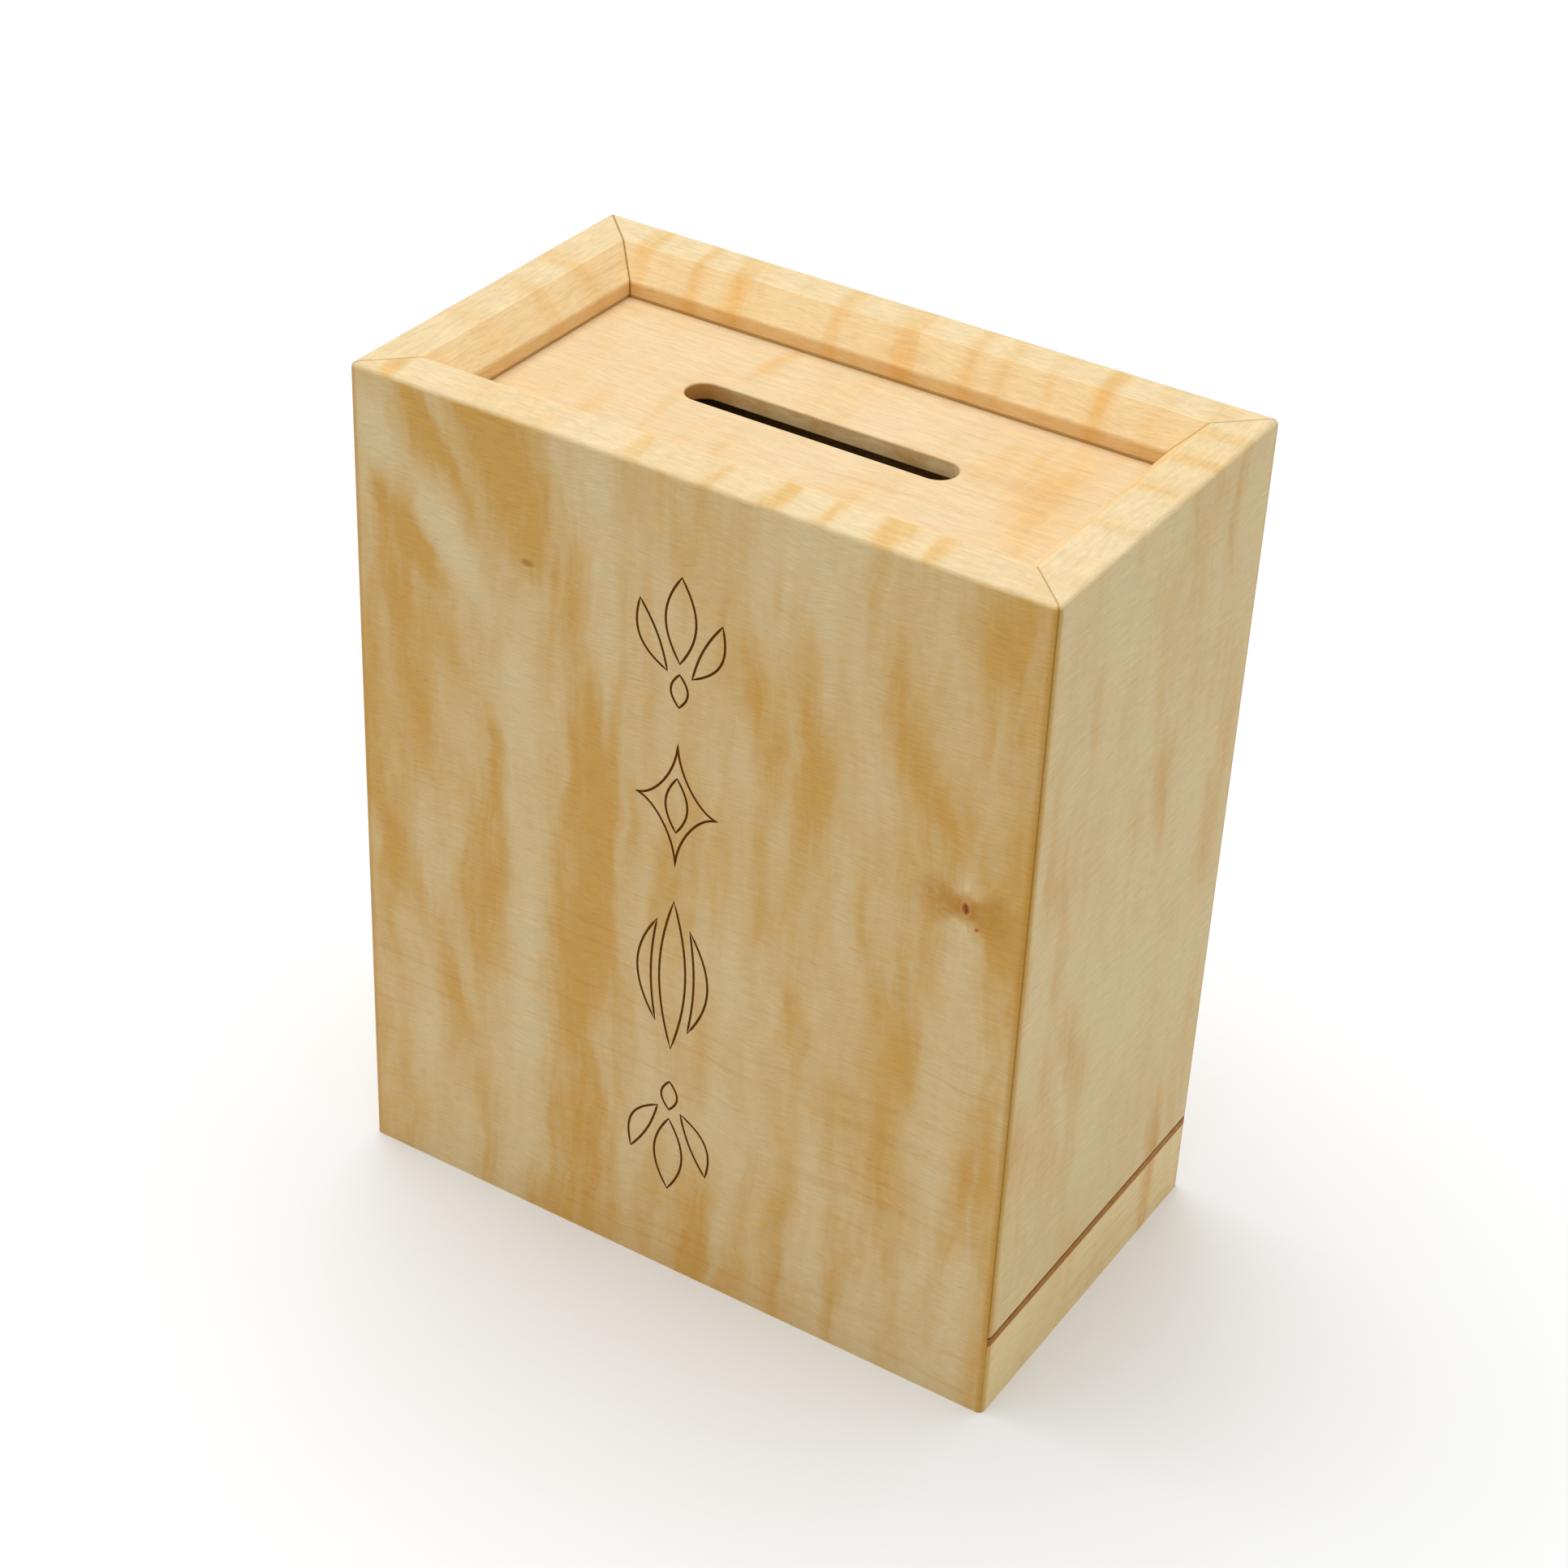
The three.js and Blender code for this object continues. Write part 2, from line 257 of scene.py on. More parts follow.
def raised(shader, height, strength, depth):
    """Fine relief on a surface: height is a wire from 0 to 1, and depth is in millimetres."""
    sockets = {"Height": height, "Strength": strength, "Distance": depth * MM}
    feed(shader, "Normal", height.node("ShaderNodeBump", {}, sockets))


def painted(red, green, blue):
    """A colour given as it looks on a screen, from 0 to 255, as the linear one that nodes need."""
    def linear(value):
        value = value / 255
        return value / 12.92 if value <= 0.04045 else ((value + 0.055) / 1.055) ** 2.4

    return (linear(red), linear(green), linear(blue), 1)


# %% Floor finish
floor_finish, floor_shader, floor_point = new_finish("white_sweep")
mottle = noise(floor_point, (60, 60, 60))
feed(floor_shader, "Base Color", mixed(mottle, painted(243, 244, 247), painted(246, 247, 249)))
floor_shader.inputs["Roughness"].default_value = 0.9
floor_mesh.materials.append(floor_finish)

# %% [markdown]
# ## Curly maple
# Curly maple is pale wood whose fibres ripple, so bands of darker amber cross the grain. A board shows
# four things at once: the slow bands, fine streaks that follow them, fibres no wider than a hair along
# the grain, and faint growth lines. Each is a noise stretched to its own length and width. An image
# would be quicker to set up, but it would smear over the rounded edges; noise in solid space wraps from
# a board's face over its rim, as real figure does.

# %% Figure of the board
growth_spacing = 4.4           # millimetres from one growth line to the next


def figured_wood(point, turn, shift, lean=0.0):
    """The slow bands, washes, fine streaks, fibres, growth lines and ripple of one board."""
    board = turned(point, turn, shift)
    sway = noise(board, (26, 40, 30), 2.0) - 0.5
    feather = noise(board, (4, 30, 8), 3.0, 0.6) - 0.5
    deep = axes(board)[1]
    swayed = moved(board, sway * 8 + feather * 2.5 + deep * lean, 0.0, 0.0)
    wave = noise(board, (9, 30, 26), 1.0) - 0.5
    rippled = moved(board, 0.0, 0.0, wave * 1.6 + sway * 3)
    spacing = noise(rippled, (160, 60, 5.5), 1.0)
    count = axes(rippled)[2] / growth_spacing + spacing * 2.6
    return {
        "bands": noise(swayed, (9, 60, 50), 2.0, 0.45),
        "washes": noise(swayed, (13, 60, 30), 3.0, 0.5),
        "rim_bands": noise(swayed, (4.5, 60, 40), 3.0, 0.5),
        "streaks": noise(swayed, (2.6, 40, 17), 3.0, 0.55).between(0.28, 0.72),
        "fibres": noise(rippled, (3.2, 0.6, 0.26), 4.0, 0.7),
        "mottle": noise(rippled, (3.5, 2.0, 0.8), 3.0, 0.6),
        "flecks": noise(rippled, (1.8, 0.4, 0.2), 1.0),
        "clouds": noise(board, (34, 50, 22), 2.0),
        "rings": count.math("PINGPONG", count, 0.5).between(0.14, 0.0),
        "sway": sway,
        "feather": feather,
    }


# %% [markdown]
# The strongest bands of a board are set out one by one, as a maker would choose the board for them. Each
# is a soft ellipse: a Mapping node gives it a place, a lean and a size, and a Spherical gradient fades
# it from its middle. A negative weight makes a pale band. The same sway that bends the noise bends the
# ellipses.

# %% Chosen bands
def chosen_bands(point, figure, bands, facing):
    """bands are (across, along, lean in degrees, width, length, weight) on a face that looks along
    -y, x or z. On the upright faces along is the height."""
    push = figure["sway"] * 6 + figure["feather"] * 4
    if facing == "y":
        swayed = moved(point, push, 0.0, 0.0)
    elif facing == "x":
        swayed = moved(point, 0.0, push, 0.0)
    else:
        push = figure["feather"] * 2.5
        swayed = moved(point, push, push, 0.0)
    total = 0.0
    for across, along, lean, width, length, weight in bands:
        lean = math.radians(lean)
        if facing == "y":
            place = (across, -box_size.y / 2 / MM, along)
            turn = (0, lean, 0)
            size = (width / 2, 22, length / 2)
        elif facing == "x":
            place = (box_size.x / 2 / MM, across, along)
            turn = (-lean, 0, 0)
            size = (22, width / 2, length / 2)
        else:
            place = (across, along, frame_high.z / MM)
            turn = (0, 0, lean)
            size = (width / 2, length / 2, 22)
        sockets = {"Vector": swayed, "Location": place, "Rotation": turn, "Scale": size}
        ellipse = point.node("ShaderNodeMapping", {"vector_type": "TEXTURE"}, sockets)
        settings = {"gradient_type": "SPHERICAL"}
        total = total + point.node("ShaderNodeTexGradient", settings, {0: ellipse}) * weight
    return total


# %% [markdown]
# Where two boards meet in a mitre, glue and finish leave a thin dark line. On the outer corners the end
# grain shows beside it, soaks up more finish and turns amber. Both follow from how far a point is from
# the outer faces: on the mitre the two distances are equal, and on the corner both are near nothing.

# %% Mitre lines
strip_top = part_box("accent_strip")[1].z / MM
line_fade = (0.34, 0.06)       # from the edge of a mitre line to its middle
corner_fade = (1.4, 0.3)       # the same, for the amber of the corners


def mitre_marks(point):
    """A thin line along the glued mitres, strongest on the back left one, a soft one down the
    outer corners, and how far in from the outside of the box a point is."""
    x, y, z = axes(point)
    from_end = box_size.x / 2 / MM - abs(x)
    from_front = box_size.y / 2 / MM - abs(y)
    fixed = x.between(1, -1).larger(z.between(strip_top, strip_top + 0.2))
    line = abs(from_end - from_front).between(*line_fade) * fixed
    line = line * (0.58 + x.between(0, -1) * y.between(0, 1) * 0.42)
    corner = (from_end + from_front).between(*corner_fade)
    return line, corner, from_end.smaller(from_front)


# %% Colours of the maple
pale_face = painted(221, 198, 150)
amber_face = painted(206, 158, 75)
pale_rim = painted(231, 208, 164)
amber_rim = painted(226, 185, 118)
# the bevel and lip tints are painted bounce light, warming the faces that look at the rim's golden
# inside
painted_bounce_bevel = (1.13, 1.06, 0.98, 1)
painted_bounce_lip = (0.98, 0.91, 0.79, 1)
growth_line = (0.93, 0.84, 0.74, 1)
# a brown for the glue lines in the mitres, also used as painted shade in the gap at the foot of the lip
glue_and_shade_brown = painted(160, 110, 4)
corner_amber = painted(190, 138, 34)
lip_bottom = frame_high.z / MM - 5.8


# %% [markdown]
# The finish of a wall has three zones. Its faces take the bands that cross the grain. Its rim was planed
# across the bands, and is paler. The bevel and the upright lip below it face the golden inside of the
# rim; their colour is tinted warm as painted bounce light, standing in for light coloured by the wood.

# %% Curly maple finish
rim_reach = (0.8, 0.1)         # depths below the top over which the outer faces turn into rim
lip_reach = (7, 6.5)           # the same, where the lip ends on the inside
bevel_from = (6.2, 6.9)        # distances in from the outside over which the bevel begins
lip_from = (3.6, 3.9)          # depths over which the bevel turns into the lip
band_edges = (0.42, 0.72)      # values of the noise over which a band darkens
rim_figure = 0.3               # strength of the rim's own slow bands


def rim_zones(point, inset):
    """How much of a point is rim of any kind, how much bevel, and how much the upright lip."""
    depth = frame_high.z / MM - axes(point)[2]
    inside = inset.between(*bevel_from)
    rim = depth.between(*rim_reach).larger(inside * depth.between(*lip_reach))
    bevel = inside * rim
    lip = bevel * depth.between(*lip_from)
    return rim, bevel, lip


def curly_maple(name, turn, shift, bands=(), facing="y", rim=(), wash=0.2, figure_strength=1.0,
                lean=0.0, pale=pale_face, amber=amber_face, mitred=True, marks=(), lines_below=140):
    material, shader, point = new_finish(name)
    figure = figured_wood(point, turn, shift, lean)
    streaks = figure["streaks"]
    fine = (streaks - 0.5) * 0.24 + (figure["mottle"] - 0.5) * 0.5
    slow = figure["bands"].between(*band_edges) * figure_strength
    curl = (slow + chosen_bands(point, figure, bands, facing)) * (0.65 + streaks * 0.55)
    curl = (curl + wash + (figure["washes"] - 0.5) * 1.2 + fine).between(-0.15, 1.15)
    if mitred:
        line, corner, inset = mitre_marks(point)
        on_rim, on_bevel, on_lip = rim_zones(point, inset)
        crossing = figure["rim_bands"].between(*band_edges) * rim_figure
        crossing = (crossing + chosen_bands(point, figure, rim, "z") * 1.5) * (0.6 + streaks * 0.5)
        crossing = (crossing + fine * 0.7 + (figure["washes"] - 0.45)).between(-0.1, 1.1)
        curl = curl * (1 - on_rim) + crossing * on_rim
        pale = mixed(on_rim, pale, pale_rim)
        amber = mixed(on_rim, amber, amber_rim)
    colour = mixed(curl, pale, amber)
    low = axes(point)[2].between(lines_below, lines_below - 25)
    rings = figure["rings"] * figure["clouds"].between(0.36, 0.6) * low
    colour = mixed(rings * 0.58, colour, growth_line, "MULTIPLY")
    for mark in marks:
        colour = mark(point, colour)
    if mitred:
        # painted bounce light: the bevel and lip are tinted as if lit by light reflected off the wood
        colour = mixed(on_bevel, colour, painted_bounce_bevel, "MULTIPLY")
        colour = mixed(on_lip, colour, painted_bounce_lip, "MULTIPLY")
        # painted shade: a brown line at the foot of the lip, where the gap round the panel lies in
        # shadow
        foot = on_lip * axes(point)[2].between(lip_bottom + 0.24, lip_bottom + 0.08)
        colour = mixed(foot * 0.6, colour, glue_and_shade_brown)
        colour = mixed(corner * (1 - on_rim) * 0.8, colour, corner_amber)
        colour = mixed(line * (1 - on_rim * 0.3), colour, glue_and_shade_brown)
    fibres = figure["fibres"]
    flecks = figure["flecks"].between(0.36, 0.28)
    value = 0.95 + (fibres - 0.5) * 0.5 + (figure["mottle"] - 0.5) * 0.14 - flecks * 0.07
    feed(shader, "Base Color", brightened(colour, value))
    feed(shader, "Roughness", 0.5 - curl * 0.07 + (fibres - 0.5) * 0.2)
    raised(shader, fibres * 0.6 + streaks * 0.3, 0.35, 0.04)
    shader.inputs["Specular IOR Level"].default_value = 0.22
    return material


# %% [markdown]
# A pin knot is the foot of a twig that the tree grew over. It has a small red-brown eye with a dark
# split, and an amber halo that opens like a bow tie to both sides. Above and below it the fibres swerve
# round the eye and leave a pale wedge. Distances from its middle, roughened by noise, draw each of them.

# %% Pin knots
eye_brown = painted(158, 74, 0)
split_brown = painted(118, 36, 0)
halo_amber = painted(190, 133, 42)
smudge_brown = painted(162, 122, 26)
wedge_pale = painted(232, 212, 160)


def from_middle(point, x, z):
    """How far a point is to the side of a place on the front, and how far above it."""
    place = {"Vector": point, "Location": (-x, 0, -z)}
    across, _, up = axes(point.node("ShaderNodeMapping", {}, place))
    return across, up


def pin_knot(x, z, strength):
    """A knot at a place on the front. Its parts are painted from the outermost to the eye."""
    def draw(point, colour):
        rough = noise(point, (1.4, 5, 1.1), 4.0, 0.65) - 0.5
        across, up = from_middle(point, x, z)
        across = across + rough * 0.9
        up = up + rough * 0.7
        aside = across * across
        above = up * up
        tie = (above / (aside * 0.8 + 1.5)).between(1.8, 0.1) * aside.between(0.02, 1.2)
        glow = (aside / 76 + above / 46).between(1.0, 0.0)
        core_glow = (aside / 14 + above / 7).between(1.0, 0.0)
        wedge = (aside / (above * 0.02 + 0.06)).between(1.0, 0.2)
        wedge = wedge * above.between(0.8, 3) * above.between(34, 8)
        radius = aside / 0.36 + above / 0.95
        ring = abs(radius - 2.6).between(1.4, 0.2) * aside.between(0.05, 0.8)
        split = abs(across - 0.05).between(0.22, 0.06) * above.between(0.8, 0.2)
        colour = mixed(glow * tie * strength * (0.9 + rough * 1.6), colour, halo_amber)
        colour = mixed(core_glow * tie * strength * 0.6, colour, halo_amber)
        colour = mixed(wedge * strength * 0.55, colour, wedge_pale)
        colour = mixed(radius.between(9, 2) * strength * 0.8, colour, halo_amber)
        colour = mixed(ring * 0.2, colour, eye_brown)
        colour = mixed(radius.between(1.3, 0.3) * 0.9, colour, eye_brown)
        return mixed(split * 0.9, colour, split_brown)

    return draw


def grown_over_knot(x, z, width, height, brown):
    """A knot so nearly grown over that only a smudge of it shows on the front."""
    def draw(point, colour):
        rough = noise(point, (1.0, 5, 0.7), 3.0, 0.6) - 0.5
        across, up = from_middle(point, x, z)
        across = across / width * 2 + rough * 1.2
        up = up / height * 2 + rough * 0.8
        return mixed((across * across + up * up).between(1.3, 0.1) * 0.8, colour, brown)

    return draw


# %% Boards of curly maple
ALONG_X = (0, 0, 0)
ALONG_Y = (0, 0, math.radians(-90))
ALONG_Z = (0, math.radians(90), 0)
LYING_FLAT = (math.radians(90), 0, 0)

front_bands = [
    (-14.5, 34, 1, 20, 130, 0.65),
    (-13, 76, -5, 10, 50, 0.85),
    (-14.5, 56, 1, 13, 60, 0.4),
    (-17.5, 105, -6, 7, 34, 0.25),
    (-26, 119, -14, 16, 32, 1.5),
    (-30, 125, -30, 10, 18, 0.5),
    (-22, 109, -8, 6, 16, 0.5),
    (-41, 123, -24, 7, 18, 0.8),
    (-34.5, 115, -28, 5, 22, 0.7),
    (-39.5, 110.5, -38, 7.5, 34, -0.85),
    (-48, 118, -20, 6, 22, -0.5),
    (-45.5, 98, -3, 8, 36, 0.6),
    (-42.5, 104.5, -42, 6, 24, 0.7),
    (-36.5, 90, -6, 6, 24, 0.5),
    (-45, 76, 0, 11, 34, 0.3),
    (-26, 90, -4, 14, 34, -0.6),
    (-31, 60, 1, 9, 52, 0.75),
    (-48, 58, -18, 7, 34, 0.5),
    (-39, 40, -16, 6, 40, 0.3),
    (-43, 24, 0, 12, 50, -0.35),
    (-24, 50, 0, 8, 50, -0.35),
    (-32, 6, 0, 7, 50, 0.55),
    (-50, 74, 0, 9, 40, 0.4),
    (0, 72, 0, 11, 50, 0.45),
    (11, 98, -12, 7, 36, 0.5),
    (20, 90, -3, 9, 70, 0.5),
    (33, 106, -14, 8, 50, 0.5),
    (41, 92, -34, 8, 36, 0.4),
    (46, 118, 0, 15, 40, 0.75),
    (34, 72, 0, 16, 44, 0.5),
    (43, 83, 0, 22, 34, 0.35),
    (47.5, 77.5, -38, 7, 14, 0.7),
    (18, 55, -20, 7, 40, 0.4),
    (5, 8, 0, 6, 44, 0.45),
    (12, 8, 3, 6, 44, 0.5),
    (19, 10, 0, 6, 70, 0.4),
    (27, 22, -2, 6, 70, 0.6),
    (35, 20, -6, 5, 60, 0.45),
    (44, 26, 8, 7, 70, 0.42),
]
front_rim = [
    (-46.5, -25.5, 12, 4.2, 18, 1.0),
    (-22, -26, 0, 5, 20, 0.3),
    (-9, -26, 0, 4, 20, 0.3),
    (3, -26, 0, 3.2, 20, 0.5),
    (11.5, -26, -3, 5.6, 20, 1.0),
    (18.8, -26, -3, 4.4, 20, 0.8),
    (27, -26, 0, 6.4, 20, 0.75),
    (34.2, -26, 3, 4.6, 20, 0.8),
]
right_bands = [
    (-28.6, 70, 0, 5, 170, 0.45),
    (-22, 83, -12, 8, 46, 0.5),
    (-15, 56, -22, 8, 40, 0.5),
    (-19, 38, 0, 22, 50, 0.3),
    (-15, 44, -14, 4, 26, -0.5),
    (2, 112, 0, 26, 34, 0.3),
    (6, 84, -14, 7, 42, 0.35),
    (8, 106, 0, 10, 30, -0.3),
    (19.5, 115, 0, 7, 44, 0.5),
    (14, 118, 0, 5, 36, 0.3),
    (23, 78, 3, 9, 70, 0.35),
    (17.5, 6, 3, 7, 52, 1.1),
    (25, 30, 0, 6, 54, 0.35),
]
right_rim = [
    (47, 20, 90, 4.6, 24, 0.45),
    (47, 12, 90, 3.6, 24, 0.4),
    (47, 2.5, 90, 6, 24, 0.6),
    (47, -8, 90, 5, 24, 0.35),
]
back_rim = [
    (-41.5, 24, 2, 4.6, 26, 0.7),
    (-32, 24, 6, 4.6, 26, 0.5),
    (-25.5, 22, 14, 5.6, 30, 0.8),
    (-9.5, 23, 8, 4, 28, 0.6),
    (1.5, 23, 4, 9, 28, 0.6),
    (11, 23, 6, 4, 28, 0.4),
    (15.5, 23, 6, 3.4, 28, 0.35),
    (22.5, 23, 8, 3.2, 28, 0.5),
    (30.5, 23, 6, 5.4, 28, 0.7),
    (38, 23, 6, 4.4, 28, 0.35),
    (46, 24, 6, 4, 22, 0.4),
]
left_rim = [
    (-46, 12, 90, 6, 24, 0.45),
    (-46, 2, 84, 5, 24, 0.35),
    (-46, -10, 90, 6, 24, 0.25),
]
panel_bands = [
    (-14, 13, 0, 4.4, 20, 0.8),
    (-33, 0, 0, 6, 44, 0.2),
    (-24, 10, 0, 4, 16, 0.3),
    (-18.5, -8, 10, 4, 26, 0.5),
    (-27, -13, 0, 4, 16, 0.4),
    (-6, -13, 0, 4, 16, 0.45),
    (6, -13, 8, 5, 16, 0.4),
    (13, -13, 5, 5, 14, 0.4),
    (0, 11, 0, 5, 18, 0.35),
    (25, 6, 0, 9, 24, 0.4),
    (33, 2, 10, 13, 40, 0.9),
    (41, -6, 0, 5, 24, 0.6),
]
front_marks = [
    pin_knot(43.0, 80.8, 0.8),
    grown_over_knot(-23.7, 107.0, 2.2, 1.1, smudge_brown),
    grown_over_knot(44.8, 78.3, 0.7, 0.6, eye_brown),
]
panel_pale = painted(231, 206, 165)
panel_amber = painted(229, 186, 124)
strip_pale = painted(234, 211, 157)
strip_amber = painted(219, 174, 96)
right_pale = painted(222, 199, 147)

front_finish = curly_maple("curly_maple_front", ALONG_X, (31, 7, 12), front_bands, "y", front_rim,
                           wash=0.3, figure_strength=0.35, lean=0.3, marks=front_marks, lines_below=80)
right_finish = curly_maple("curly_maple_right", ALONG_Y, (140, 60, 80), right_bands, "x", right_rim,
                           wash=0.1, figure_strength=0.15, pale=right_pale, lines_below=0)
strip_finish = curly_maple("curly_maple_strip", ALONG_Y, (140, 60, 80), right_bands, "x", wash=0.05,
                           figure_strength=0.15, pale=strip_pale, amber=strip_amber)
back_finish = curly_maple("curly_maple_back", ALONG_X, (260, 90, 40), rim=back_rim, figure_strength=0.9,
                          lean=0.2)
left_finish = curly_maple("curly_maple_left", ALONG_Y, (410, 20, 140), rim=left_rim, figure_strength=0.6)
board_finish = curly_maple("curly_maple_floor", ALONG_X, (70, 300, 0), figure_strength=0.5, mitred=False)


# %% [markdown]
# Inside its slot the panel shows end grain, which drinks more finish and is browner in patches. Its
# walls are also painted paler than the face, as painted light on them. The slot's walls are told from
# the face by their height alone, so they are one more mark on the board.

# %% Panel finish
panel_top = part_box("slot_panel")[1].z / MM


def slot_walls_with_painted_light(point, colour):
    x, _, z = axes(point)
    grain = noise(point, (3.5, 3, 0.9), 4.0, 0.65).between(0.35, 0.68)
    patches = noise(point, (9, 9, 9), 1.0).between(0.4, 0.62)
    # the walls' base colours are paler than the face, as painted light; the browner patches and amber
    # left end are end grain
    wall = mixed(grain * 0.5 + patches * 0.4, painted(254, 230, 181), painted(230, 180, 103))
    wall = mixed(x.between(-12, -18.5) * 0.8, wall, painted(219, 145, 50))
    return mixed(z.between(panel_top - 0.15, panel_top - 0.5), colour, wall)


panel_finish = curly_maple("curly_maple_panel", LYING_FLAT, (520, 0, 0), panel_bands, "z", wash=0.2,
                           figure_strength=0.15, pale=panel_pale, amber=panel_amber, mitred=False,
                           marks=[slot_walls_with_painted_light])

# %% [markdown]
# ## Plain maple, padauk, steel and the burnt line
# The hidden parts are straight-grained maple, sanded and left without a finish. The red slip is padauk,
# with dark pores along the grain. The bolt and the pins are cut from drawn steel rod, whose fine lines
# run along it. The ornament is a burnt line, brown with darker grains of char.

# %% Plain maple finish
def plain_maple(name, turn, shift):
    material, shader, point = new_finish(name)
    figure = figured_wood(point, turn, shift)
    rings = figure["rings"] * 0.35 + figure["clouds"].between(0.35, 0.7) * 0.4
    colour = mixed(rings, painted(232, 209, 166), painted(214, 182, 130))
    value = 0.97 + (figure["fibres"] - 0.5) * 0.2 + (figure["streaks"] - 0.5) * 0.06
    feed(shader, "Base Color", brightened(colour, value))
    feed(shader, "Roughness", 0.66 + (figure["fibres"] - 0.5) * 0.2)
    raised(shader, figure["fibres"], 0.4, 0.05)
    return material


spline_finish = plain_maple("plain_maple_spline", ALONG_X, (200, 10, 30))
block_finish = plain_maple("plain_maple_block", ALONG_Y, (0, 120, 55))
upright_finish = plain_maple("plain_maple_upright", ALONG_Z, (15, 80, 200))


# %% Padauk finish
def padauk_finish():
    material, shader, point = new_finish("padauk_slip")
    lengthwise = turned(point, ALONG_Y)
    tone = noise(lengthwise, (9, 3, 0.7), 3.0)
    pores = noise(lengthwise, (1.4, 0.3, 0.22), 1.0).between(0.42, 0.32)
    colour = mixed(tone, painted(148, 90, 12), painted(182, 121, 26))
    colour = mixed(pores * 0.6, colour, painted(96, 50, 10))
    feed(shader, "Base Color", colour)
    feed(shader, "Roughness", 0.5 + pores * 0.25)
    raised(shader, 1 - pores, 0.5, 0.05)
    shader.inputs["Specular IOR Level"].default_value = 0.2
    return material


slip_finish = padauk_finish()


# %% Steel finish
def drawn_steel(name, turn):
    material, shader, point = new_finish(name)
    lengthwise = turned(point, turn)
    lines = noise(lengthwise, (30, 0.12, 0.12), 3.0)
    smudge = noise(lengthwise, (5, 3, 3), 2.0)
    feed(shader, "Base Color", mixed(smudge, painted(176, 178, 182), painted(206, 208, 210)))
    feed(shader, "Roughness", 0.2 + lines * 0.16 + smudge * 0.08)
    raised(shader, lines, 0.25, 0.01)
    shader.inputs["Metallic"].default_value = 1
    return material


bolt_finish = drawn_steel("drawn_steel_bolt", ALONG_Y)
drop_pin_finish = drawn_steel("drawn_steel_drop_pin", ALONG_Z)
side_pin_finish = drawn_steel("drawn_steel_side_pin", ALONG_X)


# %% Burnt line finish
def burnt_line():
    material, shader, point = new_finish("burnt_line")
    char = noise(point, (0.5, 0.5, 0.3), 3.0, 0.6)
    feed(shader, "Base Color", mixed(char, painted(76, 40, 0), painted(136, 82, 4)))
    feed(shader, "Roughness", 0.75 + char * 0.2)
    shader.inputs["Specular IOR Level"].default_value = 0.1
    return material


burnt_finish = burnt_line()
print("finishes:", len([m for m in bpy.data.materials if m.use_nodes]))

# %% [markdown]
# ## Bench helpers
# A few small tools serve every piece: find edges by where their middles lie, ease them with a rounded
# bevel, cut one solid with another, and hand a finished piece to the frame. Flat faces next to rounded
# edges look pillowed when their normals are averaged, so Weighted Normal keeps the large faces flat.

# %% Bench helpers
def near(value, target):
    return abs(value - target) < 0.01 * MM


def edges_where(bm, test):
    return [e for e in bm.edges if test((e.verts[0].co + e.verts[1].co) / 2)]


def ease(bm, edges, radius, segments=4):
    bmesh.ops.bevel(bm, geom=edges, offset=radius, offset_type="OFFSET", segments=segments,
                    profile=0.5, affect="EDGES", material=-1, clamp_overlap=True)


def block(low, high):
    """A box between two corners, as a bmesh to work on."""
    low, high = Vector(low), Vector(high)
    bm = bmesh.new()
    bmesh.ops.create_cube(bm, size=1)
    bmesh.ops.scale(bm, vec=high - low, verts=bm.verts)
    bmesh.ops.translate(bm, vec=(low + high) / 2, verts=bm.verts)
    return bm


def sharp_edges(bm, least=math.radians(40)):
    return [e for e in bm.edges if e.is_manifold and e.calc_face_angle() > least]


def outline_face(bm, points):
    verts = [bm.verts.new(point) for point in points]
    return bm.faces.new(verts)


def drawn_out(bm, face, along):
    """The face drawn out into a prism, with its faces turned outwards."""
    made = bmesh.ops.extrude_face_region(bm, geom=[face])
    moved_verts = [part for part in made["geom"] if isinstance(part, bmesh.types.BMVert)]
    bmesh.ops.translate(bm, vec=along, verts=moved_verts)
    bmesh.ops.recalc_face_normals(bm, faces=bm.faces)
    return bm


def new_object(name, bm, finishes=()):
    mesh = bpy.data.meshes.new(name)
    bm.to_mesh(mesh)
    bm.free()
    for finish in finishes:
        mesh.materials.append(finish)
    made = bpy.data.objects.new(name, mesh)
    bpy.context.scene.collection.objects.link(made)
    return made


def cut(piece, cutter, operation="DIFFERENCE", cutter_folds=False):
    """Cuts the piece with another object, or joins them, and puts the other away. A cutter that
    folds over itself, as a tube does at a sharp corner, has to say so."""
    modifier = piece.modifiers.new("cut", "BOOLEAN")
    modifier.object = cutter
    modifier.operation = operation
    modifier.solver = "EXACT"
    modifier.material_mode = "TRANSFER"
    modifier.use_self = cutter_folds
    worked = piece.evaluated_get(bpy.context.evaluated_depsgraph_get())
    mesh = bpy.data.meshes.new_from_object(worked)
    piece.modifiers.clear()
    piece.data = mesh
    bpy.data.objects.remove(cutter)


def hand_over(piece, body, node):
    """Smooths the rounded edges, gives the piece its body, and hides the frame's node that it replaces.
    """
    piece.data.shade_smooth()
    piece.data.set_sharp_from_angle(angle=math.radians(35))
    flatten = piece.modifiers.new("keep flats flat", "WEIGHTED_NORMAL")
    flatten.keep_sharp = True
    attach(piece, body)
    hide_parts(node)
    print(piece.name, "replaces", node, "with", len(piece.data.polygons), "faces")


# %% [markdown]
# ## The four walls
# Each wall is one board: its section has a groove for the slotted panel, another for the sliding floor,
# and the bevelled rim above. It could be cut from a cube with many booleans, but a section drawn once
# and drawn out is how a moulding is really run. The outer edges are rounded before the mitres are cut,
# because the box is rounded after it is glued: each board then keeps half of the rounding, and the two
# halves meet on the mitre without a notch.

